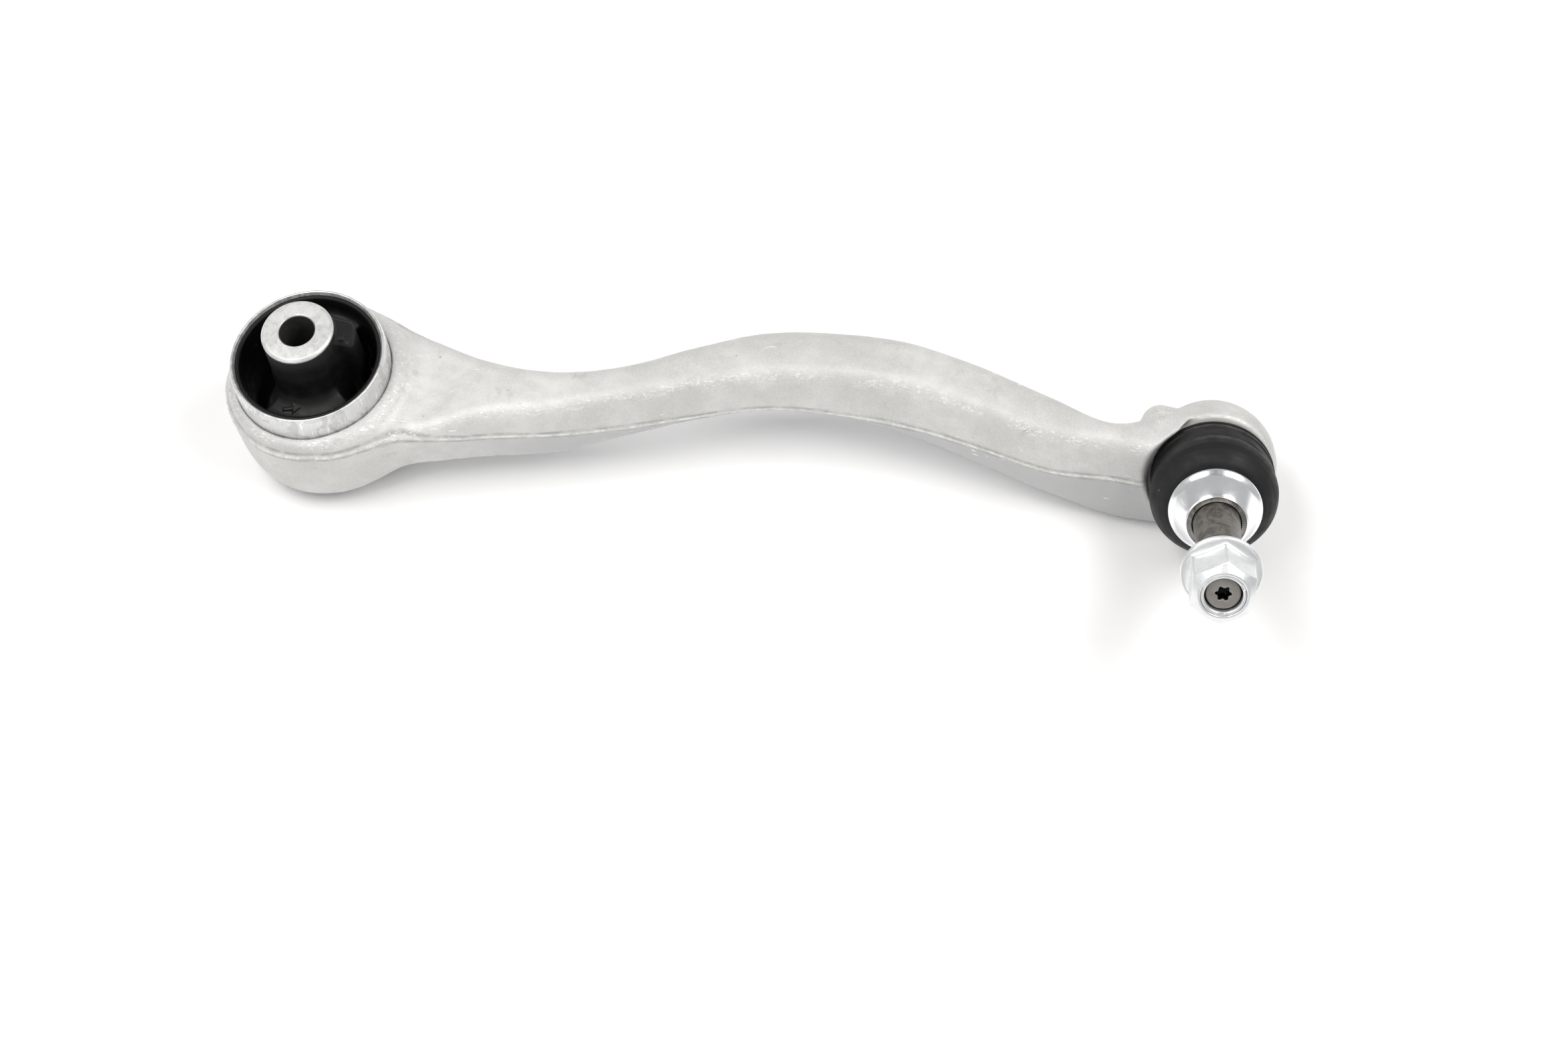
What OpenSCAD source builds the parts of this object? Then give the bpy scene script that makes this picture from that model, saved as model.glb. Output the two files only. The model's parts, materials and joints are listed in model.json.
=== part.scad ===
// Suspension control arm: forged arm, rubber bush at one end and ball joint at the other.
// The frame is the arm lying at rest, with its origin at the centre of the bush's inner sleeve.
// +X runs from the bush to the ball joint, +Y to the side away from the stud, and +Z up.

/* [Bush] */
// Diameter of the bolt bore through the inner sleeve
bore_d = 12.5; // [12.2:0.1:12.8]
// Outer diameter of the inner sleeve
sleeve_d = 25.6; // [24:0.1:27]
// Length of the inner sleeve
sleeve_len = 64.4; // [60:0.2:66]
// Outer diameter of the ring that is pressed into the arm
ring_d = 56.4; // [55:0.1:57.5]
// Wall of the ring
ring_wall = 2.1; // [1.8:0.1:2.5]
// Height of the ring's rim above the bore's centre
ring_up = 16.7; // [14:0.1:19]
// Lean of the bush's axis from vertical, towards the free end of the eye
bush_lean = 5.4; // [3:0.1:7]

/* [Forged arm] */
// Distance along X from the bush to the ball
reach = 318.5; // [315:0.5:325]
// Sideways place of the ball
ball_y = -30.6; // [-31.6:0.1:-29.6]
// Height of the ball's centre
ball_z = -11.1; // [-11.4:0.1:-10.4]
// Draft of the forging above and below its parting plane, in degrees
draft = 7; // [5:0.5:9]
// Largest diameter of the bush eye, at the parting plane
eye_d = 66.6; // [65.6:0.2:68.6]
// Height of the eye's top face above the bore's centre
eye_up = 6.3; // [5:0.1:8]
// Depth of the eye's lower end below the bore's centre
eye_down = 30; // [29:0.2:31]
// Diameter of the ball housing
housing_d = 46.6; // [46:0.2:48]

/* [Ball joint] */
// Diameter of the ball
ball_d = 28; // [27:0.2:28.4]
// Angle between the stud and vertical
stud_lean = 58.7; // [56:0.1:61]
// Turn of the stud's lean about vertical
stud_turn = -5.4; // [-8:0.1:-4]
// Largest diameter of the stud's tapered shank
shank_d = 16.4; // [16:0.1:17]
// Largest diameter of the sealing boot
boot_d = 45; // [44:0.2:46]
// Outer diameter of the flared seal collar
collar_d = 32.8; // [31.8:0.2:33.4]

/* [Nut] */
// Distance from the ball's centre to the nut's seating face
nut_seat = 73.1; // [72.5:0.1:75]
// Height of the nut
nut_h = 17.1; // [16.5:0.1:17.5]
// Width across the flats of the hexagon
nut_af = 21; // [20.8:0.1:21.2]
// Diameter of the nut's flange
flange_d = 27.7; // [27:0.1:28.5]

/* [Hidden] */

$fn = 64;
eps = 0.01;
through = 200;

FORGED = [0.74, 0.74, 0.72];
MACHINED = [0.82, 0.82, 0.82];
RUBBER = [0.06, 0.06, 0.06];
ZINC = [0.80, 0.81, 0.83];
DARK_STEEL = [0.27, 0.25, 0.23];
POLYMER = [0.86, 0.84, 0.78];

ring_r = ring_d / 2;
ring_bore_r = ring_r - ring_wall;
sleeve_r = sleeve_d / 2;
eye_r = eye_d / 2;
ring_seat = -24;          // shoulder in the eye that the ring is pressed down to
lip_bore_r = 25;          // opening below that shoulder

housing_r = housing_d / 2;
HOUSING_SHIFT = [-0.3, 1.5, 0.9]; // the forged outside is a little off the ball's centre
ball_r = ball_d / 2;
shoulder_t = 4.5;         // places along the stud are measured from the ball's centre
neck_end_t = 9.2;
neck_r = 19.6;
spotface_r = 25.4;        // clears the boot where the shank meets the housing
seat_r = 16.2;            // bore for the plastic seat
seat_lip_t = 6.6;
seat_taper_t = 2.6;
seat_lip = 0.9;
cap_rim = 1;              // rim of the housing that is rolled over the cap
mouth_r = 13.6;
cap_t = -17.2;
cap_r = 17;
cap_thick = 2;
cap_wall = 1.3;           // housing left round the cap

run_gap = 0.05;           // radial running clearance
soft_gap = 0.15;          // clearance round parts that deform

// ---------- frames ----------

module in_bush_frame() {
    rotate([0, -bush_lean, 0]) children();
}

module in_stud_frame() {
    translate([reach, ball_y, ball_z]) rotate([stud_lean, 0, stud_turn]) children();
}

module tube(r_out, r_in, z0, z1) {
    translate([0, 0, z0]) difference() {
        cylinder(r = r_out, h = z1 - z0);
        translate([0, 0, -eps]) cylinder(r = r_in, h = z1 - z0 + 2 * eps);
    }
}

// ---------- curves ----------

// Smooth curve through a list of rows, at the place t counted in rows
function clamp_row(rows, i) = rows[max(0, min(len(rows) - 1, i))];
function through_rows(rows, t) =
    let (
        i = min(floor(t), len(rows) - 2), f = t - i,
        a = clamp_row(rows, i - 1), b = rows[i], c = rows[i + 1], d = clamp_row(rows, i + 2)
    )
    0.5 * (2 * b + (c - a) * f + (2 * a - 5 * b + 4 * c - d) * f * f
        + (3 * b - a - 3 * c + d) * f * f * f);

// ---------- forged arm ----------

// Each row is one cut across the arm: its place along X, the front and back edges at the
// parting plane, the height of the top and the depth of the underside
ARM_CUTS = [
    [10, -29, 26, 3, -21],
    [35, -27, 18.5, 4.5, -21],
    [60, -23.5, 5, 10, -22.5],
    [85, -22, -0.5, 11.5, -20],
    [110, -18.5, 1, 13, -13],
    [135, -13.5, 9, 13.5, -10],
    [160, -10, 15.5, 13.5, -9.5],
    [185, -11.5, 15, 15, -11],
    [210, -16.5, 11, 15.5, -16],
    [235, -25, 2, 13, -22.5],
    [260, -33.5, -10, 11.5, -28],
    [283, -38, -20.5, 10, -32.5],
    [304, -43, -16, 9, -33]
];
CUT_STEPS = 3;
drawn_reach = 318.5;      // the reach that the cuts are laid out for

parting_fall = 1.65;      // the parting plane falls towards the ball, in degrees
parting_at_bush = 0.6;
cut_rows = [
    for (i = [0:(len(ARM_CUTS) - 1) * CUT_STEPS])
        let (row = through_rows(ARM_CUTS, i / CUT_STEPS))
        concat([row[0] * reach / drawn_reach], [for (k = [1:4]) row[k]])
];

// Closed outline between two columns of the cuts
module outline_between(low, high) {
    last = len(cut_rows) - 1;
    polygon(concat(
        [for (i = [0:last]) [cut_rows[i][0], cut_rows[i][low]]],
        [for (i = [last:-1:0]) [cut_rows[i][0], cut_rows[i][high]]]
    ));
}

module plan_prism(lean) {
    translate([0, 0, parting_at_bush]) rotate([lean, parting_fall, 0])
        translate([0, 0, -through / 2]) linear_extrude(through) outline_between(1, 2);
}

module side_prism() {
    rotate([90, 0, 0]) translate([0, 0, -through / 2])
        linear_extrude(through) outline_between(4, 3);
}

// Two plan prisms that lean opposite ways leave the draft above and below the parting plane
module arm_shank() {
    intersection() {
        plan_prism(draft);
        plan_prism(-draft);
        side_prism();
    }
}

module eye_blank() {
    rotate_extrude() polygon([
        [0, -eye_down], [eye_r - 4, -eye_down], [eye_r - 1.9, -eye_down + 3],
        [eye_r - 0.9, -eye_down + 8], [eye_r - 0.2, -12], [eye_r, 0.6],
        [eye_r - 1.2, 4.8], [eye_r - 2.2, eye_up], [0, eye_up]
    ]);
}

// Seat for the pressed-in ring, with the shoulder that it stops against
module eye_bore() {
    rotate_extrude() polygon([
        [0, -through], [lip_bore_r, -through], [lip_bore_r, ring_seat],
        [ring_r, ring_seat], [ring_r, through], [0, through]
    ]);
}

// Everything cut from inside the housing, from the closing cap's seat to the mouth
module socket_bore() {
    rotate_extrude() polygon([
        [0, -through], [housing_r + 8, -through], [housing_r + 8, cap_t - cap_rim],
        [cap_r, cap_t - cap_rim], [cap_r, cap_t + cap_thick], [seat_r, cap_t + cap_thick],
        [seat_r, seat_taper_t], [mouth_r + seat_lip, seat_lip_t], [mouth_r, seat_lip_t],
        [mouth_r, neck_end_t - 1.4], [mouth_r + 1.4, neck_end_t], [mouth_r + 1.4, through / 4],
        [0, through / 4]
    ]);
}

// The land and groove that the boot's lower bead sits on, and the room round the boot
module boot_land() {
    rotate_extrude() polygon([
        [spotface_r, shoulder_t], [spotface_r, 45], [mouth_r - 1, 45], [mouth_r - 1, neck_end_t],
        [neck_r, neck_end_t], [neck_r, 7.8], [neck_r - 0.9, 7.8], [neck_r - 0.9, 5.4],
        [neck_r, 5.4], [neck_r, shoulder_t]
    ]);
}

// Outside of the housing: a sphere, carried on to the rim round the closing cap
module housing_blank() {
    end = cap_t - cap_rim;
    translate(HOUSING_SHIFT) in_stud_frame() sphere(r = housing_r, $fn = 96);
    in_stud_frame() rotate_extrude() polygon([
        [0, end], [cap_r + cap_wall, end], [cap_r + 2.2, end + 1.5], [housing_r - 2.2, -11],
        [housing_r - 0.8, -6], [0, -6]
    ]);
}

module positioning_boss() {
    translate([reach - 18.5, -20, 1.6]) sphere(r = 6.4);
}

module arm_body() {
    color(FORGED) difference() {
        union() {
            arm_shank();
            in_bush_frame() eye_blank();
            housing_blank();
            positioning_boss();
        }
        in_bush_frame() eye_bore();
        in_stud_frame() socket_bore();
        in_stud_frame() boot_land();
    }
}

// ---------- bush ----------

module bush_outer_sleeve() {
    color(MACHINED) in_bush_frame() rotate_extrude() polygon([
        [ring_bore_r, ring_seat], [ring_r - 0.8, ring_seat], [ring_r, ring_seat + 1.4],
        [ring_r, ring_up - 0.6], [ring_r - 0.6, ring_up], [ring_bore_r, ring_up]
    ]);
}

web_up = 8.5;             // top face of the rubber webs
web_down = -17;
lining = 1.5;             // rubber left on the ring's wall
void_in_r = 18.5;
void_out_r = 24;
void_angle = 104;

module rubber_void() {
    rotate([0, 0, -void_angle / 2]) rotate_extrude(angle = void_angle)
        translate([void_in_r, web_down - 5]) square([void_out_r - void_in_r, web_up - web_down + 10]);
}

module bush_rubber() {
    inner = sleeve_r + run_gap;
    outer = ring_bore_r - run_gap;
    color(RUBBER) in_bush_frame() difference() {
        rotate_extrude() polygon([
            [inner, -26], [inner + 1, -26], [inner + 3.5, web_down - 2], [outer - lining, web_down],
            [outer - lining, -22], [outer, -22], [outer, ring_up - 0.5], [outer - 0.9, ring_up - 0.5],
            [outer - lining, web_up + 2], [void_in_r - 0.8, web_up], [inner + 3, web_up + 8],
            [inner + 0.9, 26], [inner, 26]
        ]);
        for (side = [0, 180]) rotate([0, 0, side]) rubber_void();
    }
}

module bush_inner_sleeve() {
    half = sleeve_len / 2;
    color(MACHINED) in_bush_frame() rotate_extrude() polygon([
        [bore_d / 2, -half], [sleeve_r - 0.8, -half], [sleeve_r, -half + 0.8],
        [sleeve_r, half - 0.8], [sleeve_r - 0.8, half], [bore_d / 2, half]
    ]);
}

// ---------- ball joint ----------

module ball_seat() {
    color(POLYMER) in_stud_frame() difference() {
        rotate_extrude() polygon([
            [0, cap_t + cap_thick], [seat_r, cap_t + cap_thick], [seat_r, seat_taper_t],
            [mouth_r + seat_lip, seat_lip_t], [0, seat_lip_t]
        ]);
        sphere(r = ball_r + run_gap, $fn = 96);
        cylinder(r1 = 9, r2 = 16, h = seat_lip_t + 1);
        translate([0, 0, cap_t]) cylinder(r = 7, h = through / 4, $fn = 48);
    }
}

module closing_cap() {
    color(ZINC) in_stud_frame() translate([0, 0, cap_t]) difference() {
        cylinder(r = cap_r, h = cap_thick);
        translate([0, 0, -eps]) cylinder(r1 = 12, r2 = 11, h = 0.9);
    }
}

module boot_lower_clamp_ring() {
    color(DARK_STEEL) in_stud_frame() tube(neck_r + 2.1, neck_r + 1.1, 6.2, 7.6);
}

lip_t = 29.9;             // top of the boot, under the flared collar

module sealing_boot() {
    base = neck_r + soft_gap;
    bulge = boot_d / 2;
    hub = 10.4;
    color(RUBBER) in_stud_frame() rotate_extrude() polygon([
        [base, shoulder_t + 0.2], [bulge - 0.9, shoulder_t + 0.2], [bulge - 0.8, 6.1],
        [neck_r + 1, 6.1], [neck_r + 1, 7.7], [bulge - 0.6, 7.7], [bulge - 0.5, 10],
        [bulge - 1.2, 10.7], [bulge - 0.9, 11.4], [bulge - 0.8, 13.6], [bulge - 0.3, 17],
        [bulge, 19.6], [bulge - 0.3, 22], [bulge - 1.2, 24.4], [bulge - 2.8, 26.6],
        [bulge - 5, 28.3], [bulge - 7.6, 28.9], [hub + 2.8, 28.9], [hub + 2.4, lip_t], [hub, lip_t],
        [hub, lip_t - 3.4], [hub + 3, 26.6], [bulge - 7.6, 26.5], [bulge - 5.4, 25.4],
        [bulge - 3.7, 23.6], [bulge - 2.6, 22], [bulge - 2.5, 19], [bulge - 2.8, 15.5], [base, 12]
    ]);
}

module boot_upper_clamp_ring() {
    color(DARK_STEEL) in_stud_frame() tube(14.05, 13.25, 29.1, 29.8);
}

module ball_stud() {
    shank_r = shank_d / 2;
    thread_r = 6.75;
    tip_t = nut_seat + nut_h - 1.6;
    color(DARK_STEEL) in_stud_frame() difference() {
        union() {
            difference() {
                sphere(r = ball_r, $fn = 96);
                translate([0, 0, -ball_r - 1]) cylinder(r = ball_r, h = 3);
            }
            rotate_extrude() polygon([
                [0, 5], [7.6, 5], [7.4, 14], [7.6, 20], [8.5, 26.4], [8.5, 38.5], [shank_r, 39.5],
                [7.3, 66], [thread_r, 67], [thread_r, tip_t - 4], [5.9, tip_t - 3],
                [5.9, tip_t - 0.5], [5.5, tip_t], [0, tip_t]
            ]);
        }
        translate([0, 0, tip_t - 4]) six_lobe_socket();
    }
}

module six_lobe_socket() {
    for (a = [0:60:300]) rotate([0, 0, a]) translate([2.05, 0, 0]) cylinder(r = 0.75, h = 5);
    cylinder(r = 2.2, h = 5, $fn = 48);
}

module seal_collar() {
    rim = collar_d / 2;
    color(ZINC) in_stud_frame() rotate_extrude() polygon([
        [8.5, 26.6], [9.9, 26.6], [10.1, 27.2], [10.1, 34.6], [rim - 0.7, 29.9], [rim, 30.5],
        [rim - 0.3, 31.3], [11.2, 39.3], [10.4, 40.2], [8.9, 40.4], [8.5, 38]
    ]);
}

// ---------- nut ----------

thread_bore_r = 6.8;
lock_r = 7.7;
lock_bore_r = 6.4;
lock_deep = 3;

module flange_nut() {
    hex_base = 2.6;
    color(ZINC) in_stud_frame() translate([0, 0, nut_seat]) difference() {
        union() {
            rotate_extrude() polygon([
                [0, 0], [flange_d / 2 - 0.6, 0], [flange_d / 2, 0.6], [flange_d / 2, 2.1],
                [flange_d / 2 - 0.5, 2.6], [12.2, 4], [9.5, 5.6], [0, 5.6]
            ]);
            intersection() {
                translate([0, 0, hex_base]) rotate([0, 0, 30])
                    cylinder(r = nut_af / 2 / cos(30), h = nut_h - hex_base, $fn = 6);
                rotate_extrude() polygon([
                    [0, 0], [13, 0], [13, nut_h - 3.5], [8.9, nut_h - 0.2], [8.6, nut_h], [0, nut_h]
                ]);
            }
        }
        translate([0, 0, -eps]) cylinder(r = thread_bore_r, h = through);
        translate([0, 0, -eps]) cylinder(r1 = 7.6, r2 = thread_bore_r, h = 1.2);
        translate([0, 0, nut_h - lock_deep]) cylinder(r = lock_r, h = lock_deep + 1);
    }
}

module nut_lock_ring() {
    color(ZINC) in_stud_frame() translate([0, 0, nut_seat])
        tube(lock_r, lock_bore_r, nut_h - lock_deep, nut_h - 0.2);
}

arm_body();
bush_outer_sleeve();
bush_rubber();
bush_inner_sleeve();
ball_seat();
closing_cap();
boot_lower_clamp_ring();
sealing_boot();
boot_upper_clamp_ring();
ball_stud();
seal_collar();
flange_nut();
nut_lock_ring();
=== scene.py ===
"""Looks of a forged suspension control arm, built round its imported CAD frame.

Shapes are worked out in millimetres in three frames: the row's own frame, the bush's frame,
with Z along the bolt bore, and the stud's frame, with Z along the ball stud and its origin at
the ball's centre. Meshes are written in metres in the row's frame.
"""

import json
import math

import bmesh
import bpy
import numpy as np
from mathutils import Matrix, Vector


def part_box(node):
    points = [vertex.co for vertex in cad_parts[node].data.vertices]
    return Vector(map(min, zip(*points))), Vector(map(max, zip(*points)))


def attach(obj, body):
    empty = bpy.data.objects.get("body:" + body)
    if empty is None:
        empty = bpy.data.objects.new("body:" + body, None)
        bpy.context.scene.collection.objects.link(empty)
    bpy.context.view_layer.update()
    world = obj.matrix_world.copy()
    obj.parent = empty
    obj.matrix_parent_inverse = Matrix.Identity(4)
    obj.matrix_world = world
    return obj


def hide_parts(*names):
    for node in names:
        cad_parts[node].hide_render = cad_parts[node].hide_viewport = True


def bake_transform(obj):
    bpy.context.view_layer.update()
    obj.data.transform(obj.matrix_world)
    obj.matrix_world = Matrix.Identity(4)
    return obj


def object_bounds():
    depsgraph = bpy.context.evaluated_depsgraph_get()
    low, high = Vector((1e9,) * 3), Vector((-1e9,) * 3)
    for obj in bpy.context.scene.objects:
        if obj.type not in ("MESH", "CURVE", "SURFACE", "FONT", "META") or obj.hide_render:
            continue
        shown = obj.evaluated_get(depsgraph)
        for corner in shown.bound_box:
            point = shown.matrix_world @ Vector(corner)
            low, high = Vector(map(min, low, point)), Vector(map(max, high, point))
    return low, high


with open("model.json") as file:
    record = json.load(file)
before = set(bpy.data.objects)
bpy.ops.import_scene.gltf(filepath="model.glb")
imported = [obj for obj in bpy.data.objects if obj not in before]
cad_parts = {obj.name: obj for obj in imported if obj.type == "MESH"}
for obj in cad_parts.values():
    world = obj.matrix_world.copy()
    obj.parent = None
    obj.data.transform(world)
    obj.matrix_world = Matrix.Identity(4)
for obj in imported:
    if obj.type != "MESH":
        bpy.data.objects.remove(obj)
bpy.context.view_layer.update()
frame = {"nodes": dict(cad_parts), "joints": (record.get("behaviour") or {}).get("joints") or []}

MM = 0.001
TAU = 2 * math.pi
JOINTS = {joint["name"]: joint for joint in frame["joints"]}


# ---------- frames ----------


class Axes:
    """A frame of its own inside the row's frame, in millimetres."""

    def __init__(self, origin, x, y, z):
        self.origin = np.array(origin, float)
        self.rows = np.array([x, y, z], float)

    def world(self, points):
        return np.asarray(points, float) @ self.rows + self.origin

    def local(self, points):
        return (np.asarray(points, float) - self.origin) @ self.rows.T


def bush_axes():
    z = np.array(JOINTS["bush_twist"]["axis"], float)
    y = np.array([0.0, 1.0, 0.0])
    return Axes((0, 0, 0), np.cross(y, z), y, z)


def stud_axes():
    z = np.array(JOINTS["stud_spin"]["axis"], float)
    x = np.array(JOINTS["stud_swing_up"]["axis"], float)
    return Axes(np.array(JOINTS["stud_spin"]["pos_m"]) / MM, x, np.cross(z, x), z)


BUSH = bush_axes()
STUD = stud_axes()


class Span:
    """Smallest and largest radius and height of a CAD node, in a frame."""

    def __init__(self, node, axes):
        mesh = frame["nodes"][node].data
        co = np.empty(len(mesh.vertices) * 3)
        mesh.vertices.foreach_get("co", co)
        p = axes.local(co.reshape(-1, 3) / MM)
        r = np.hypot(p[:, 0], p[:, 1])
        self.r0, self.r1, self.h0, self.h1 = r.min(), r.max(), p[:, 2].min(), p[:, 2].max()


RING = Span("bush_outer_sleeve", BUSH)
SLEEVE = Span("bush_inner_sleeve", BUSH)
BOOT = Span("sealing_boot", STUD)
COLLAR = Span("seal_collar", STUD)
NUT = Span("flange_nut", STUD)
LOCK = Span("nut_lock_ring", STUD)
SHAFT = Span("ball_stud", STUD)
CAP = Span("closing_cap", STUD)
SEAT = Span("ball_seat", STUD)
LOW_WIRE = Span("boot_lower_clamp_ring", STUD)
TOP_WIRE = Span("boot_upper_clamp_ring", STUD)


# ---------- mesh making ----------


def add_object(name, points, faces, normals=None):
    """A smooth-shaded mesh object from points in the row's millimetres."""
    mesh = bpy.data.meshes.new(name)
    mesh.from_pydata((np.asarray(points) * MM).tolist(), [], faces)
    mesh.update()
    mesh.shade_smooth()
    obj = bpy.data.objects.new(name, mesh)
    bpy.context.scene.collection.objects.link(obj)
    if normals is not None:
        mesh.normals_split_custom_set_from_vertices(normals.tolist())
    return obj


def face_outwards(obj):
    work = bmesh.new()
    work.from_mesh(obj.data)
    bmesh.ops.recalc_face_normals(work, faces=work.faces)
    work.to_mesh(obj.data)
    work.free()
    obj.data.shade_smooth()
    weighted = obj.modifiers.new("even_normals", "WEIGHTED_NORMAL")
    weighted.weight = 100
    return obj


def rounded(outline, radius=0.3, steps=4):
    """Closed outline of (r, h) or (r, h, corner radius) points with its corners rounded."""
    made = []
    count = len(outline)
    for i, point in enumerate(outline):
        here = np.array(point[:2], float)
        to_last = np.array(outline[i - 1][:2], float) - here
        to_next = np.array(outline[(i + 1) % count][:2], float) - here
        last_len, next_len = np.linalg.norm(to_last), np.linalg.norm(to_next)
        want = point[2] if len(point) > 2 else radius
        u, v = to_last / last_len, to_next / next_len
        half = math.acos(max(-1, min(1, float(u @ v)))) / 2
        if want <= 0 or half > math.radians(86) or half < 1e-3:
            made.append(tuple(here))
            continue
        reach = min(want / math.tan(half), 0.45 * last_len, 0.45 * next_len)
        corner = reach * math.tan(half)
        middle = here + (u + v) / np.linalg.norm(u + v) * corner / math.sin(half)
        a0 = math.atan2(*(here + u * reach - middle)[::-1])
        a1 = math.atan2(*(here + v * reach - middle)[::-1])
        turn = (a1 - a0 + math.pi) % TAU - math.pi
        for k in range(steps + 1):
            a = a0 + turn * k / steps
            made.append((middle[0] + corner * math.cos(a), middle[1] + corner * math.sin(a)))
    return made


def lathe(name, axes, rings, segments=144, closed=True):
    """Surface through rings of (radius, height). Either may be an array over the segments, and a
    ring of radius 0 is one point."""
    angles = np.arange(segments) * TAU / segments
    points, starts = [], []
    for radius, height in rings:
        starts.append(sum(len(p) for p in points))
        if np.ndim(radius) == 0 and radius == 0:
            points.append(np.array([[0, 0, float(np.mean(height))]]))
            continue
        r = np.broadcast_to(radius, segments)
        h = np.broadcast_to(height, segments)
        points.append(np.stack([r * np.cos(angles), r * np.sin(angles), h], 1))
    faces = []
    for i in range(len(rings) if closed else len(rings) - 1):
        j = (i + 1) % len(rings)
        a, b = starts[i], starts[j]
        one_a, one_b = len(points[i]) == 1, len(points[j]) == 1
        for k in range(segments):
            n = (k + 1) % segments
            if one_a:
                faces.append((a, b + n, b + k))
            elif one_b:
                faces.append((a + k, a + n, b))
            else:
                faces.append((a + k, a + n, b + n, b + k))
    obj = add_object(name, axes.world(np.concatenate(points)), faces)
    return face_outwards(obj)


def tube_along(name, axes, path, radius, sides=12):
    """A round wire along points in a frame, with domed ends."""
    path = np.array(path, float)
    along = np.gradient(path, axis=0)
    along /= np.linalg.norm(along, axis=1)[:, None]
    up = np.array([0.0, 0.0, 1.0])
    out = np.cross(along, up)
    out /= np.linalg.norm(out, axis=1)[:, None]
    rise = np.cross(out, along)
    around = np.arange(sides) * TAU / sides
    points = []
    for p, o, r in zip(path, out, rise):
        points += [p + radius * (math.cos(a) * o + math.sin(a) * r) for a in around]
    faces = []
    for i in range(len(path) - 1):
        for k in range(sides):
            n = (k + 1) % sides
            a, b = i * sides, (i + 1) * sides
            faces.append((a + k, a + n, b + n, b + k))
    for end, way in ((0, -1), (len(path) - 1, 1)):
        tip = len(points)
        points.append(path[end] + way * radius * 0.7 * along[end])
        base = end * sides
        faces += [(base + k, base + (k + 1) % sides, tip) for k in range(sides)]
    return face_outwards(add_object(name, axes.world(points), faces))


# ---------- solids given by a field ----------
# A field is negative inside the solid and measures roughly millimetres from its surface.


def smax(a, b, k):
    """Larger of two fields, with the corner rounded over k."""
    h = np.maximum(k - np.abs(a - b), 0) / k
    return np.maximum(a, b) + h * h * k / 4


def smin(a, b, k):
    return -smax(-a, -b, k)


def step_up(t):
    t = np.clip(t, 0, 1)
    return t * t * (3 - 2 * t)


def curve(xs, ys):
    """Smooth curve through points, held level past both ends."""
    xs, ys = np.array(xs, float), np.array(ys, float)
    slopes = np.gradient(ys, xs)

    def at(x):
        i = np.clip(np.searchsorted(xs, x) - 1, 0, len(xs) - 2)
        width = xs[i + 1] - xs[i]
        t = np.clip((x - xs[i]) / width, 0, 1)
        t2, t3 = t * t, t * t * t
        return (
            (2 * t3 - 3 * t2 + 1) * ys[i]
            + (t3 - 2 * t2 + t) * width * slopes[i]
            + (3 * t2 - 2 * t3) * ys[i + 1]
            + (t3 - t2) * width * slopes[i + 1]
        )

    return at


CELL_CORNERS = [(i, j, k) for i in (0, 1) for j in (0, 1) for k in (0, 1)]
CELL_EDGES = [
    (a, b) for a in CELL_CORNERS for b in CELL_CORNERS
    if sum(b) - sum(a) == 1 and sum(abs(p - q) for p, q in zip(a, b)) == 1
]


def sample(field, low, high, step):
    """The field on a grid, one slice at a time."""
    axes = [np.arange(a, b + step, step) for a, b in zip(low, high)]
    gy, gz = np.meshgrid(axes[1], axes[2], indexing="ij")
    values = np.empty([len(a) for a in axes], np.float32)
    for i, x in enumerate(axes[0]):
        values[i] = field(np.full(gy.shape, x), gy, gz)
    return values


def crossing_cells(values):
    """Cells that the surface passes through, and the mean place where it cuts their edges."""
    inside = values < 0
    shape = np.array(values.shape) - 1

    def corner(grid, c):
        return grid[c[0]:c[0] + shape[0], c[1]:c[1] + shape[1], c[2]:c[2] + shape[2]]

    count = sum(corner(inside, c).astype(np.int8) for c in CELL_CORNERS)
    cells = np.argwhere((count > 0) & (count < 8))
    total, hits = np.zeros((len(cells), 3)), np.zeros(len(cells))
    for a, b in CELL_EDGES:
        va = values[tuple((cells + a).T)]
        vb = values[tuple((cells + b).T)]
        cut = (va < 0) != (vb < 0)
        t = np.where(cut, va / np.where(cut, va - vb, 1), 0)
        place = np.array(a) + t[:, None] * (np.array(b) - np.array(a))
        total += np.where(cut[:, None], place, 0)
        hits += cut
    index = np.full(tuple(shape), -1, np.int64)
    index[tuple(cells.T)] = np.arange(len(cells))
    return cells + total / hits[:, None], index, inside


def net_faces(index, inside):
    """One quad for each grid edge that crosses the surface, joining the four cells round it."""
    faces = []
    for d in range(3):
        e, f = (d + 1) % 3, (d + 2) % 3
        ahead = np.roll(inside, -1, axis=d)
        change = inside != ahead
        keep = [slice(1, -1)] * 3
        keep[d] = slice(0, -1)
        mask = np.zeros_like(change)
        mask[tuple(keep)] = change[tuple(keep)]
        nodes = np.argwhere(mask)
        unit_e, unit_f = np.eye(3, dtype=int)[e], np.eye(3, dtype=int)[f]
        ring = [nodes, nodes - unit_e, nodes - unit_e - unit_f, nodes - unit_f]
        quads = np.stack([index[tuple(n.T)] for n in ring], 1)
        flip = ~inside[tuple(nodes.T)]
        quads[flip] = quads[flip][:, ::-1]
        faces.append(quads[(quads >= 0).all(1)])
    return np.concatenate(faces)


def gradient(field, p, h=0.03):
    made = []
    for axis in range(3):
        shift = np.zeros(3)
        shift[axis] = h
        made.append((field(*(p + shift).T) - field(*(p - shift).T)) / (2 * h))
    return np.stack(made, 1)


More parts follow.
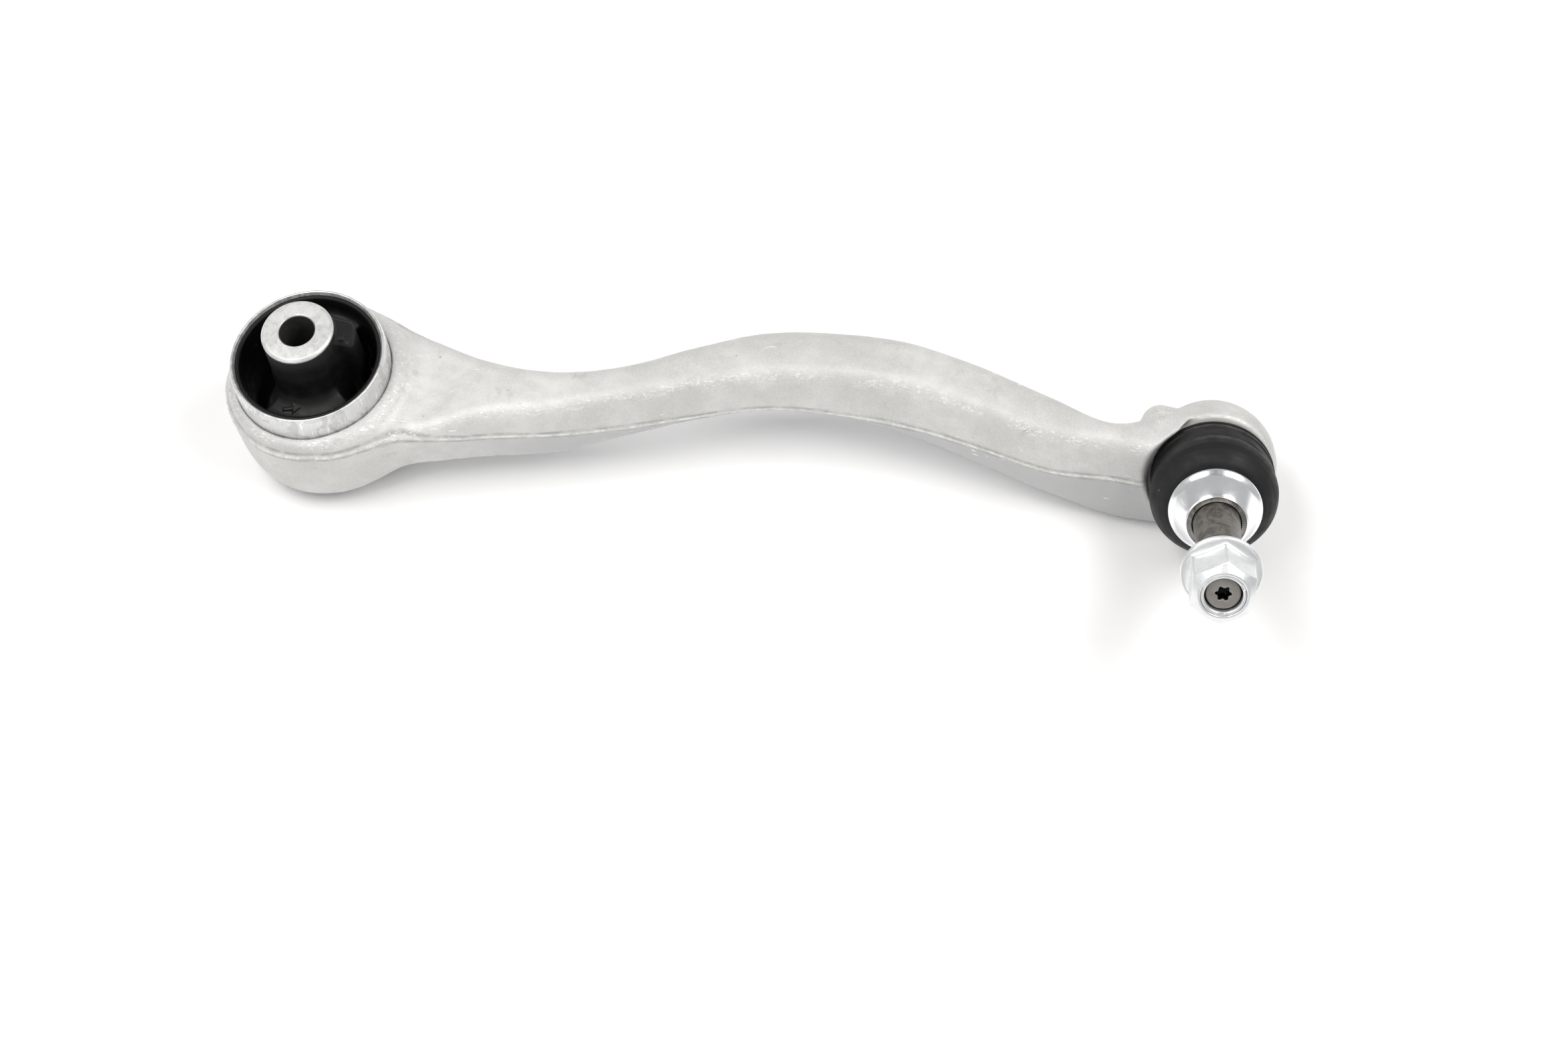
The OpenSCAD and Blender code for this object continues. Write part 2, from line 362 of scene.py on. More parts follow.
def net_surface(field, low, high, step, pulls=4):
    """Points, quads and normals of the surface where the field is zero."""
    low = np.array(low, float)
    values = sample(field, low, high, step)
    cells, index, inside = crossing_cells(values)
    points = low + cells * step
    for _ in range(pulls):
        slope = gradient(field, points)
        size = (slope**2).sum(1)
        move = -(field(*points.T) / np.maximum(size, 0.05))[:, None] * slope
        length = np.linalg.norm(move, axis=1)[:, None]
        points += move * np.minimum(1, 0.4 * step / np.maximum(length, 1e-9))
    slope = gradient(field, points)
    normals = slope / np.maximum(np.linalg.norm(slope, axis=1), 1e-9)[:, None]
    return points, net_faces(index, inside), normals


def store(obj, name, values):
    """Keeps a number per point for the material to read."""
    attribute = obj.data.attributes.new(name, "FLOAT", "POINT")
    attribute.data.foreach_set("value", np.asarray(values, np.float32))


# ---------- forged arm ----------

# Cuts across the arm: place along X, front and back at the parting plane, height of the top,
# depth of the underside, where the crease lies between front and back, how far the top falls
# from the crease to its back edge, and how much the front draws in below the parting plane
CUTS = np.array([
    [10, -29, 26, 3, -21, 0.5, 0, 0.12],
    [35, -26.8, 18.8, 5, -21, 0.5, 0, 0.12],
    [60, -23.4, 5.6, 10, -22, 0.5, 0.4, 0.12],
    [85, -22, 0.2, 11.3, -21, 0.5, 0.8, 0.12],
    [110, -18.6, 2, 12.8, -14, 0.52, 1.4, 0.12],
    [135, -13.8, 10, 13, -10, 0.54, 2.2, 0.12],
    [160, -10, 16.4, 13, -9.5, 0.48, 2.6, 0.12],
    [185, -11.7, 16, 14, -11, 0.4, 2.8, 0.12],
    [210, -16.4, 12, 14.6, -16, 0.34, 2.8, 0.12],
    [235, -24.6, 3.2, 12.8, -22.5, 0.36, 2.6, 0.12],
    [260, -33.9, -9, 11.2, -28.5, 0.46, 2, 0.11],
    [283, -37, -19.8, 10, -34, 0.5, 0.8, -0.05],
    [304, -41, -15, 9, -34.2, 0.5, 0, -0.05],
])
CUT_COLUMNS = [curve(CUTS[:, 0], CUTS[:, k]) for k in range(1, CUTS.shape[1])]
DRAFT = math.tan(math.radians(7))
FRONT_LEAN = math.tan(math.radians(12))
PARTING_AT_BUSH = 0.6
PARTING_FALL = math.tan(math.radians(1.65))
FLASH_PROUD = 0.24
FLASH_WIDTH = 0.7
HOUSING_R = 23.1
HOUSING_AT = STUD.origin + np.array([-0.3, 1.5, 0.9])
BOSS_AT = np.array([STUD.origin[0] - 19.2, -19.5, 2.6])
BOSS_R = 6.4
EYE_UP = 6.3
EYE_DOWN = 29.9
EYE_R = 33.1
SPOTFACE_R = 25.4
SPOTFACE_NARROW = 2.3
SPOTFACE_FLARE = 0.42
SHOULDER_T = 4.5
NECK_R = 19.5
NECK_END = 9.2
EYE_FILLET = 9
HOUSING_FILLET = 6
BOSS_FILLET = 3
FORGING_STEP = 0.8


def half_plane(y, z, a, b):
    """How far (y, z) lies to the left of the line from a to b."""
    dy, dz = b[0] - a[0], b[1] - a[1]
    return ((z - a[1]) * dy - (y - a[0]) * dz) / np.hypot(dy, dz)


def parting_height(x, z):
    """Height above the parting surface, which follows the bush's lean at the eye."""
    at_arm = z - (PARTING_AT_BUSH - PARTING_FALL * x)
    at_eye = z * BUSH.rows[2][2] + x * BUSH.rows[2][0] - PARTING_AT_BUSH
    share = step_up((x - 22) / 34)
    return at_arm * share + at_eye * (1 - share)


def shank_sides(x, y, z):
    """The shank's front, top and back, which its edges' wear is worked out from."""
    front, back, top, under, share, drop, foot = (column(x) for column in CUT_COLUMNS)
    part = PARTING_AT_BUSH - PARTING_FALL * x
    rise, depth = top - part, part - under
    f = (front, part)
    e = (front + FRONT_LEAN * rise, top - 0.45 * drop)
    c = (front + share * (back - front), top + 0.3)
    k = (back, part)
    b = (back - DRAFT * rise, top - 0.5 * drop)
    front_side = smax(
        half_plane(y, z, (f[0] + foot * depth, under), f), half_plane(y, z, f, e), 0.9
    )
    back_side = smax(half_plane(y, z, b, k), half_plane(y, z, k, (k[0] - DRAFT * depth, under)), 1.5)
    top_front, top_back = half_plane(y, z, e, c), half_plane(y, z, c, b)
    return front_side, back_side, top_front, top_back, under - z


def shank(x, y, z):
    front_side, back_side, top_front, top_back, below = shank_sides(x, y, z)
    top_side = smax(top_front, top_back, 1.4)
    solid = smax(smax(front_side, top_side, 5.2), smax(back_side, below, 9), 0.1)
    solid = smax(smax(solid, smax(front_side, below, 8), 0.1), smax(back_side, top_side, 6), 0.1)
    return smax(solid, np.maximum(8 - x, x - 308), 6)


def place_in(axes, x, y, z):
    """Radius, height and distance along the frame's X."""
    offset = np.stack([v.ravel() for v in (x, y, z)]) - axes.origin[:, None]
    ax, ay, height = (axes.rows @ offset).reshape(3, *x.shape)
    return np.hypot(ax, ay), height, ax


# Radius of the eye's outside at each height: a heel, a nearly upright wall, the parting line
# and a hollow below the scuffed ledge round the ring
eye_wall = curve(
    [-30, -25.5, -20, -13, -5, -0.2, 0.6, 1.4, 2.6, 3.8, 4.8, 5.8, 6.8],
    [EYE_R - 3.6, EYE_R - 1.6, EYE_R - 0.5, EYE_R - 0.15, EYE_R, EYE_R, EYE_R, EYE_R - 0.75,
     EYE_R - 1.35, EYE_R - 1.55, EYE_R - 1.75, EYE_R - 2.5, EYE_R - 3.6],
)


def eye(r, h):
    wall = (r - eye_wall(h)) * 0.9
    return smax(smax(wall, h - EYE_UP, 1.4), -EYE_DOWN - h, 3)


def ball_distance(x, y, z, centre, radius):
    return np.sqrt((x - centre[0])**2 + (y - centre[1])**2 + (z - centre[2])**2) - radius


def housing(x, y, z, s, t):
    """A sphere, carried on to the rim round the closing cap."""
    globe = ball_distance(x, y, z, HOUSING_AT, HOUSING_R)
    end = CAP.h0 - 1
    waist = half_plane(s, t, (HOUSING_R - 2.0, -11), (CAP.r1 + 2.0, end + 1.5))
    rim = half_plane(s, t, (CAP.r1 + 2.2, end + 1.5), (CAP.r1 + 1.3, end))
    barrel = smax(smax(waist, rim, 0.8), np.maximum(end - t, t + 9), 0.5)
    return smin(globe, barrel, 1.2)


def boss(x, y, z):
    dome = ball_distance(x, y, z, BOSS_AT, BOSS_R)
    dimple = ball_distance(x, y, z, BOSS_AT + np.array([0.4, -0.8, BOSS_R + 0.9]), 2.1)
    return smax(dome, -dimple, 0.8)


def forged_skin(x, y, z):
    """The forging before it is machined."""
    r, h, _ = place_in(BUSH, x, y, z)
    body = smin(shank(x, y, z), eye(r, h), EYE_FILLET)
    s, t, _ = place_in(STUD, x, y, z)
    body = smin(body, housing(x, y, z, s, t), HOUSING_FILLET)
    body = smin(body, boss(x, y, z), BOSS_FILLET)
    uneven = 0.85 + 0.15 * np.sin(0.31 * x + 0.9 * np.sin(0.13 * y)) * np.cos(0.17 * x - 0.29 * y)
    flash = np.exp(-(parting_height(x, z) / FLASH_WIDTH)**2)
    flash *= step_up((s - SPOTFACE_R) / 3)
    waves = 0.05 * np.sin(0.41 * x + 0.7 * y) * np.cos(0.37 * y - 0.52 * z + 0.19 * x)
    return body - FLASH_PROUD * uneven * flash + waves


def eye_bore(r, h):
    ring_seat = np.maximum(r - RING.r1 - 0.04, RING.h0 - h)
    lip = np.maximum(r - (RING.r1 - 3.2), h - RING.h0 - 1)
    return np.minimum(ring_seat, lip)


def socket_bore(r, t):
    seat = np.maximum(r - SEAT.r1, t - 2.6)
    taper = np.maximum(r - SEAT.r1 + 0.43 * np.maximum(t - 2.6, 0), t - SEAT.h1)
    mouth = np.maximum(r - 13.6 - np.maximum(t - NECK_END + 1.4, 0), -t)
    recess = np.maximum(r - CAP.r1 - 0.02, t - CAP.h1)
    end = np.maximum(r - HOUSING_R - 8, t - CAP.h0 + 1)
    return np.minimum(np.minimum(np.minimum(seat, taper), mouth), np.minimum(recess, end))


def boot_room(r, t, sx):
    """Room for the boot, closest to it where the shank comes in."""
    near_shank = step_up((-sx / np.maximum(r, 1) + 0.15) / 0.85)
    reach = SPOTFACE_R - SPOTFACE_NARROW * near_shank + SPOTFACE_FLARE * np.maximum(t - NECK_END, 0)
    beside = smax(np.maximum(SHOULDER_T - t, NECK_R - r), r - reach, 1.4)
    above = smax(NECK_END - t, r - reach, 1.4)
    return smin(beside, above, 0.8)


def arm_field(x, y, z):
    r, h, _ = place_in(BUSH, x, y, z)
    s, t, sx = place_in(STUD, x, y, z)
    solid = forged_skin(x, y, z)
    solid = smax(solid, -eye_bore(r, h), 0.9)
    solid = smax(solid, -socket_bore(s, t), 0.5)
    return smax(solid, -boot_room(s, t, sx), 1.8)


def make_arm():
    low, high = (np.array(v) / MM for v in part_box("arm_body"))
    points, faces, normals = net_surface(arm_field, low - 1.5, high + 1.5, FORGING_STEP)
    obj = add_object("forged_arm", points, faces.tolist(), normals)
    x, y, z = points.T
    front_side, back_side, top_front, _, _ = shank_sides(x, y, z)
    r, h, _ = place_in(BUSH, x, y, z)
    s, t, sx = place_in(STUD, x, y, z)
    on_shank = np.abs(shank(x, y, z)) < 1.2
    edge = np.exp(-(np.abs(front_side - top_front) / 1.9)**2) * on_shank
    rim = np.exp(-(((h - EYE_UP + 1.0) / 1.4)**2)) * (r > EYE_R - 5) * (r < EYE_R + 6)
    from_peak = ball_distance(x, y, z, BOSS_AT + np.array([0, 0, BOSS_R]), 1.5)
    boss_top = np.exp(-(np.maximum(from_peak, 0) / 2.4)**2)
    store(obj, "wear", np.clip(np.maximum(np.maximum(edge, rim), boss_top), 0, 1))
    store(obj, "flash", np.exp(-(parting_height(x, z) / 0.6)**2))
    # Painted shade: the flank below the parting line, away from the eye, is darkened as if it lay in the
    # floor's shadow
    store(obj, "lower_half", step_up(-parting_height(x, z) / 3) * step_up((x - 30) / 60))
    # Painted shade: bands just above and below the flash ridge, where shade falls at its foot
    store(obj, "seam", np.exp(-((np.abs(parting_height(x, z)) - 1.25) / 0.55)**2))
    machined = (np.abs(eye_bore(r, h)) < 0.35) | (np.abs(socket_bore(s, t)) < 0.35)
    machined |= (np.abs(boot_room(s, t, sx)) < 0.3) & (s > NECK_R + 0.2)
    store(obj, "machined", machined.astype(float))
    return obj


# ---------- bush rubber ----------

WEB_UP = 8.3
CONE_TOP = SLEEVE.h1 - 1.5
SLEEVE_WAIST = SLEEVE.r1 - 1.3
LINING = 1.55
BUMP_RIB = 3.2
BUMP_FROM = -9
VOID_IN = SLEEVE.r1 + 1.1
VOID_HALF_ANGLE = math.radians(46)
PAD_OUT = SLEEVE.r1 + 5.6
ARROW_AT = (-5.8, -17.2)
ARROW_RAISE = 0.6
RUBBER_STEP = 0.45
TILT_FROM, TILT_TO = 25.4, 20.5

# Radius of the rubber round the sleeve at each height, and height of the web at each radius
cone_side = curve(
    [WEB_UP - 2, WEB_UP + 1, WEB_UP + 3, WEB_UP + 6, WEB_UP + 12, CONE_TOP - 3, CONE_TOP],
    [SLEEVE.r1 + 8, SLEEVE.r1 + 4.2, SLEEVE.r1 + 2.3, SLEEVE.r1 + 1.2, SLEEVE.r1 + 0.5,
     SLEEVE.r1 + 0.25, SLEEVE.r1 + 0.05],
)
web_top = curve([13, 18, 21, 24, 26], [WEB_UP + 0.6, WEB_UP + 0.3, WEB_UP, WEB_UP + 0.7, WEB_UP + 2.5])
cone_foot = curve([SLEEVE_WAIST, SLEEVE.r1 + 1.4, SLEEVE.r1 + 4, 21, 26], [-26, -24.5, -19, -17, -17.5])


def arrow(x, y):
    """Distance outside a plain arrow that points along +X."""
    x, y = x - ARROW_AT[0], np.abs(y - ARROW_AT[1])
    shaft = np.maximum(np.abs(x + 1.3) - 1.9, y - 0.6)
    head = np.maximum(0.3 - x, (x - 3.1) * 0.53 + y * 0.85)
    return np.minimum(shaft, head)


def bump_pad(bx, by, h):
    """The thick pad on the sleeve's side towards the arm, with a small tab on its top."""
    along, across = bx - SLEEVE.r1, by - 2.2
    slope = (h - CONE_TOP + 2.6 + 0.55 * along) * 0.88
    pad = smax(smax(np.abs(across) - 5.2, np.maximum(bx - PAD_OUT, 6 - bx), 2.4),
               smax(slope, -14 - h, 1), 1.6)
    tab = smax(np.abs(bx - SLEEVE.r1 - 1.7) - 1.2, np.abs(by + 1.2) - 1.1, 0.4)
    tab = smax(tab, np.abs(h - CONE_TOP + 3.6) - 1.6, 0.5)
    return smin(np.maximum(pad, SLEEVE_WAIST + 0.02 - np.hypot(bx, by)), tab, 0.5)


def rubber_field(bx, by, h):
    r = np.hypot(bx, by)
    arrow_rise = ARROW_RAISE * step_up(0.5 - arrow(bx, by) / 0.5)
    web = h - web_top(r) - arrow_rise
    cone = smax((r - cone_side(h)) * 0.7, h - CONE_TOP, 0.5)
    webs = smax(smin(web, cone, 1.5), (cone_foot(r) - h) * 0.8, 1)
    webs = smax(webs, SLEEVE_WAIST + 0.02 - r, 0.1)
    side_angle = np.abs(np.arctan2(by, np.abs(bx)))
    gap = smax(smax(VOID_IN - r, r - 26, 0.1), (side_angle - VOID_HALF_ANGLE) * 19, 4)
    webs = smax(webs, -gap, 1.6)
    wall = RING.r0 - 0.02
    rib = BUMP_RIB * step_up((BUMP_FROM - h) / 6)
    lining = smax(wall - LINING - rib - r, np.maximum(h - RING.h1 + 1.0, RING.h0 + 0.5 - h), 1.2)
    solid = smin(smin(webs, bump_pad(bx, by, h), 1.2), lining, 2.2)
    return smax(solid, r - wall, 0.25)


def make_rubber():
    """The bush's rubber, cut into an outer and an inner piece where it is free to shear."""
    reach = RING.r0 + 1
    points, faces, normals = net_surface(
        rubber_field, (-reach, -reach, -27.5), (reach, reach, CONE_TOP + 2), RUBBER_STEP
    )
    r = np.hypot(points[:, 0], points[:, 1])
    is_outer = r[faces].mean(1) > TILT_TO
    world = BUSH.world(points)
    turned = normals @ BUSH.rows
    made = []
    for name, mine in (("bush_rubber_outer", is_outer), ("bush_rubber_inner", ~is_outer)):
        obj, used = cut_out(name, mine, world, faces, turned)
        made.append((obj, r[used]))
    return made


def cut_out(name, keep, points, faces, normals):
    """A piece made of the faces to keep, and the numbers of the points that it uses."""
    used = np.unique(faces[keep])
    place = np.zeros(len(points), int)
    place[used] = np.arange(len(used))
    return add_object(name, points[used], place[faces[keep]].tolist(), normals[used]), used


def blend_by(obj):
    """Bakes a piece's placement into its mesh."""
    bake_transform(obj)


# ---------- materials ----------


class Finish:
    """A material's node tree, with short calls for what the finishes share. Sizes are in mm."""

    def __init__(self, name, colour, metallic, roughness):
        self.material = bpy.data.materials.new(name)
        self.material.use_nodes = True
        self.tree = self.material.node_tree
        self.bsdf = self.tree.nodes["Principled BSDF"]
        self.place = self.tree.nodes.new("ShaderNodeTexCoord").outputs["Object"]
        self.set("Base Color", (*colour, 1))
        self.set("Metallic", metallic)
        self.set("Roughness", roughness)

    def set(self, name, value):
        self.put(self.bsdf.inputs[name], value)

    def put(self, socket, value):
        if isinstance(value, bpy.types.NodeSocket):
            self.tree.links.new(value, socket)
        elif hasattr(socket.default_value, "__len__") and len(value) == 3 < len(socket.default_value):
            socket.default_value = (*value, 1)
        else:
            socket.default_value = value

    def node(self, kind, inputs=(), **settings):
        made = self.tree.nodes.new(kind)
        for key, value in settings.items():
            setattr(made, key, value)
        for key, value in dict(inputs).items():
            self.put(made.inputs[key], value)
        return made

    def noise(self, size, detail=3, rough=0.55, stretch=None, warp=0):
        place = self.place
        if stretch is not None:
            place = self.node("ShaderNodeMapping", {"Vector": place, "Scale": stretch}).outputs[0]
        made = self.node(
            "ShaderNodeTexNoise",
            {"Vector": place, "Scale": 1 / (size * MM), "Detail": detail, "Roughness": rough,
             "Distortion": warp},
        )
        return made.outputs["Fac"]

    def cells(self, size):
        made = self.node("ShaderNodeTexVoronoi", {"Vector": self.place, "Scale": 1 / (size * MM)})
        return made.outputs["Distance"]

    def ramp(self, value, low, high, to_low=0.0, to_high=1.0):
        made = self.node(
            "ShaderNodeMapRange",
            {"Value": value, "From Min": low, "From Max": high, "To Min": to_low, "To Max": to_high},
            interpolation_type="SMOOTHSTEP",
        )
        return made.outputs[0]

    def sums(self, operation, a, b=0.0):
        made = self.tree.nodes.new("ShaderNodeMath")
        made.operation = operation
        self.put(made.inputs[0], a)
        self.put(made.inputs[1], b)
        return made.outputs[0]

    def patches(self, size, detail, low, high, to_low=0.0, to_high=1.0, rough=0.55, stretch=None,
                warp=0):
        """Noise with its levels stretched, for stains, scratches and the like."""
        return self.ramp(self.noise(size, detail, rough, stretch, warp), low, high, to_low, to_high)

    def times(self, a, b):
        return self.sums("MULTIPLY", a, b)

    def uneven_roughness(self, size, detail, low, high):
        self.set("Roughness", self.patches(size, detail, 0.3, 0.7, low, high))

    def mix(self, share, a, b):
        made = self.node("ShaderNodeMix", data_type="RGBA")
        self.put(made.inputs[0], share)
        self.put(made.inputs[6], a)
        self.put(made.inputs[7], b)
        return made.outputs[2]

    def attribute(self, name):
        return self.node("ShaderNodeAttribute", attribute_name=name).outputs["Fac"]

    def radius_and_height(self, axes):
        """Distance from a frame's Z axis and height along it, in metres."""
        offset = self.node("ShaderNodeVectorMath", operation="SUBTRACT")
        self.put(offset.inputs[0], self.place)
        offset.inputs[1].default_value = axes.origin * MM
        parts = []
        for row in axes.rows:
            dot = self.node("ShaderNodeVectorMath", operation="DOT_PRODUCT")
            self.put(dot.inputs[0], offset.outputs[0])
            dot.inputs[1].default_value = row
            parts.append(dot.outputs["Value"])
        square = self.sums("ADD", self.times(parts[0], parts[0]),
                           self.times(parts[1], parts[1]))
        return self.sums("SQRT", square), parts[2]

    def rings(self, axes, pitch, along=False):
        """Turned grooves: -1 to 1 along the radius, or along the height."""
        radius, height = self.radius_and_height(axes)
        place = height if along else radius
        wander = self.patches(9, 3, 0.3, 0.7, -0.0002, 0.0002)
        turns = self.times(self.sums("ADD", place, wander), TAU / (pitch * MM))
        return self.sums("SINE", turns)

    def bump(self, *layers):
        """Layers of (height, depth in mm) that bend the normal one after another."""
        normal = None
        for height, depth in layers:
            inputs = {"Height": height, "Distance": depth * MM, "Strength": 1.0}
            if normal is not None:
                inputs["Normal"] = normal
            normal = self.node("ShaderNodeBump", inputs).outputs[0]
        self.set("Normal", normal)


def forged_finish():
    """Shot-blasted forging: warm grey grain, pits and scratches, bright where it has rubbed, with
    painted shade on the lower flank and in thin lines beside the flash.
    """
    f = Finish("forged_aluminium", (0.62, 0.62, 0.61), 0.2, 0.5)
    blotch = f.patches(26, 4, 0.35, 0.66, rough=0.6)
    cloud = f.patches(7, 3, 0.3, 0.75, rough=0.6)
    grain = f.noise(0.55, 2, 0.7)
    colour = f.mix(blotch, (0.53, 0.528, 0.516), (0.63, 0.627, 0.611))
    colour = f.mix(f.times(cloud, 0.45), colour, (0.45, 0.448, 0.439))
    colour = f.mix(f.ramp(grain, 0.35, 0.75, 0, 0.35), colour, (0.77, 0.77, 0.76))
    stain = f.patches(11, 5, 0.60, 0.74, 0, 0.45, rough=0.7, warp=0.6)
    colour = f.mix(stain, colour, (0.33, 0.325, 0.31))
    # Painted shade: the lower flank is darkened in colour as if in the floor's shadow
    colour = f.mix(f.times(f.attribute("lower_half"), 0.8), colour, (0.44, 0.443, 0.45))
    pits = f.sums("ADD", f.cells(5.5), f.patches(0.7, 2, 0.3, 0.7, -0.02, 0.05))
    pits = f.ramp(pits, 0.035, 0.065, 1, 0)
    pits = f.times(pits, f.patches(17, 3, 0.5, 0.56))
    smear = f.patches(5, 4, 0.60, 0.72, 0, 0.35, rough=0.7, stretch=(0.3, 0.3, 1.6), warp=0.4)
    colour = f.mix(smear, colour, (0.40, 0.395, 0.38))
    nicks = f.patches(1.3, 2, 0.73, 0.76, 0, 0.6, rough=0.6, stretch=(0.5, 1, 1), warp=0.5)
    nicks = f.times(nicks, f.patches(23, 2, 0.55, 0.62))
    pits = f.sums("MAXIMUM", pits, nicks)
    colour = f.mix(f.times(pits, 0.65), colour, (0.2, 0.195, 0.19))
    scratch = f.patches(1.1, 1, 0.70, 0.74, rough=0.5, stretch=(0.06, 0.9, 0.9), warp=0.3)
    scratch = f.times(scratch, f.patches(19, 2, 0.52, 0.62))
    rubbed = f.patches(0.8, 4, 0.52, 0.60, rough=0.75, stretch=(0.45, 1, 1))
    rubbed = f.times(rubbed, f.attribute("wear"))
    rubbed = f.times(rubbed, f.patches(13, 3, 0.38, 0.56))
    flash = f.times(f.attribute("flash"), f.patches(2.6, 4, 0.42, 0.6, 0.1, 0.85, rough=0.7))
    # Painted shade: dark lines beside the flash, standing in for the shade at the ridge's foot
    seam = f.times(f.attribute("seam"), f.patches(6, 3, 0.35, 0.6, 0.25, 0.85, rough=0.6))
    colour = f.mix(seam, colour, (0.27, 0.268, 0.26))
    bright = f.sums("MAXIMUM", rubbed, f.times(flash, 0.8))
    bright = f.sums("MAXIMUM", bright, f.times(scratch, 0.8))
    machined = f.attribute("machined")
    bright = f.sums("MAXIMUM", bright, f.times(machined, 0.6))
    f.set("Base Color", f.mix(bright, colour, (0.90, 0.90, 0.89)))
    f.set("Metallic", f.ramp(bright, 0, 1, 0.2, 0.6))
    f.set("Roughness", f.ramp(bright, 0, 1, 0.52, 0.36))
    dent = f.sums("SUBTRACT", f.times(grain, 0.6), f.times(pits, 1.5))
    dent = f.sums("SUBTRACT", dent, scratch)
    f.bump((f.noise(3.2, 3, 0.6), 0.16), (dent, 0.07), (rubbed, 0.05))
    return f.material


def turned_finish(name, axes, colour, pitch, along, roughness, scratched, painted_bore_shade_r=0):
    """Turned or faced metal with fine grooves and handling scratches, and painted shade on the wall of
    the bore when a bore radius is given.
    """
    f = Finish(name, colour, 0.8, roughness)
    grooves = f.rings(axes, pitch, along)
    dull = f.patches(6, 4, 0.35, 0.7, 0, 0.5, rough=0.65)
    base = f.mix(dull, colour, tuple(c * 0.8 for c in colour))
    patch = f.patches(3.4, 3, 0.52, 0.56, 0, 0.6 * scratched, rough=0.6, stretch=(1, 1, 0.45), warp=0.9)
    base = f.mix(patch, base, tuple(c * 0.66 for c in colour))
    marks = f.patches(0.7, 2, 0.57, 0.66, 0, 0.9, rough=0.6, stretch=(1, 1, 0.08), warp=0.3)
    marks = f.times(marks, f.patches(8, 2, 0.44, 0.56, 0, scratched))
    skin = f.mix(marks, base, (0.95, 0.95, 0.95))
    # Painted shade: the wall inside the bore radius is darkened as if deep in shade
    if painted_bore_shade_r:
        radius, _ = f.radius_and_height(axes)
        painted_bore_shade = f.ramp(radius, painted_bore_shade_r * MM, (painted_bore_shade_r + 0.15) * MM, 1, 0)
        skin = f.mix(painted_bore_shade, skin, (0.15, 0.148, 0.145))
    f.set("Base Color", skin)
    f.uneven_roughness(2.4, 3, roughness - 0.06, roughness + 0.1)
    f.bump((grooves, 0.006), (marks, 0.03), (f.noise(0.5, 2), 0.012))
    return f.material


def rubber_finish(name, colour, dusty, roughness, specks, shine):
    """Moulded rubber with a fine skin, paler dust and a few specks."""
    f = Finish(name, colour, 0, roughness)
    dust = f.patches(9, 4, 0.42, 0.75, 0, 0.6, rough=0.65)
    base = f.mix(dust, colour, dusty)
    dots = f.ramp(f.cells(4.2), 0.035, 0.06, 1, 0)
    dots = f.times(dots, f.patches(13, 3, 0.56, 0.6, 0, specks))
    f.set("Base Color", f.mix(dots, base, (0.55, 0.55, 0.55)))
    f.uneven_roughness(5, 3, roughness - 0.07, roughness + 0.1)
    f.set("Specular IOR Level", shine)
    f.bump((f.noise(2.6, 2), 0.05), (f.noise(0.35, 2), 0.012))
    return f.material


def zinc_finish():
    """Bright zinc plate on pressed steel, with a soft ripple and faint rub marks."""
    f = Finish("zinc_steel", (0.86, 0.87, 0.89), 1, 0.24)
    haze = f.patches(9, 3, 0.35, 0.7, 0, 0.5, rough=0.5)
    f.set("Base Color", f.mix(haze, (0.93, 0.94, 0.96), (0.86, 0.87, 0.88)))
    f.set("Roughness", f.patches(1.6, 4, 0.35, 0.75, 0.20, 0.26))
    f.bump((f.noise(14, 2), 0.04), (f.rings(STUD, 0.35), 0.0008))
    return f.material


def phosphate_finish(end, socket_r):
    """Dark phosphated steel with brown smudges and oil, paler on its end face, with painted shade within
    the socket."""
    f = Finish("phosphated_steel", (0.14, 0.13, 0.12), 0.7, 0.42)
    smudge = f.patches(4.2, 4, 0.42, 0.60, rough=0.6, warp=0.8)
    pale = f.patches(2.2, 3, 0.62, 0.72, 0, 0.7, rough=0.6, stretch=(1, 0.5, 0.5), warp=0.5)
    base = f.mix(smudge, (0.10, 0.098, 0.092), (0.225, 0.205, 0.18))
    skin = f.mix(pale, base, (0.40, 0.38, 0.35))
    radius, height = f.radius_and_height(STUD)
    skin = f.mix(f.ramp(height, (end - 1.2) * MM, (end - 0.8) * MM, 0, 0.85), skin, (0.30, 0.285, 0.265))
    # Painted shade: the socket in the stud's end is coloured near black as if in deep shade
    socket = f.times(f.ramp(radius, socket_r * MM, (socket_r + 0.1) * MM, 1, 0),
                    f.ramp(height, (end - 0.9) * MM, (end - 0.25) * MM, 1, 0))
    socket = f.times(socket, f.ramp(height, (end - 6) * MM, (end - 5) * MM))
    skin = f.mix(socket, skin, (0.008, 0.008, 0.008))
    f.set("Base Color", skin)
    f.set("Roughness", f.ramp(smudge, 0, 1, 0.30, 0.46))
    f.bump((f.noise(0.5, 3), 0.012), (f.rings(STUD, 0.28, along=True), 0.002))
    return f.material


def flake_finish():
    """Zinc-flake coating: a silver grain with bright rubbed spots."""
    f = Finish("zinc_flake", (0.74, 0.75, 0.76), 0.85, 0.36)
    grain = f.noise(0.5, 3, 0.7)
    cloud = f.patches(4, 3, 0.35, 0.7, 0, 0.5)
    base = f.mix(cloud, (0.80, 0.81, 0.82), (0.67, 0.68, 0.69))
    bright = f.patches(0.9, 4, 0.58, 0.66, 0, 0.8, rough=0.7)
    f.set("Base Color", f.mix(bright, base, (0.90, 0.90, 0.90)))
    f.set("Roughness", f.ramp(grain, 0.3, 0.7, 0.28, 0.46))
    f.bump((f.noise(1.6, 3), 0.03), (grain, 0.018))
    return f.material


def wire_finish():
    """Oiled spring wire with a brown bloom."""
    f = Finish("spring_steel", (0.16, 0.11, 0.08), 0.8, 0.38)
    bloom = f.patches(2.5, 4, 0.4, 0.62)
    f.set("Base Color", f.mix(bloom, (0.05, 0.046, 0.043), (0.10, 0.08, 0.066)))
    f.uneven_roughness(0.8, 3, 0.28, 0.5)
    f.bump((f.noise(0.4, 2), 0.008))
    return f.material


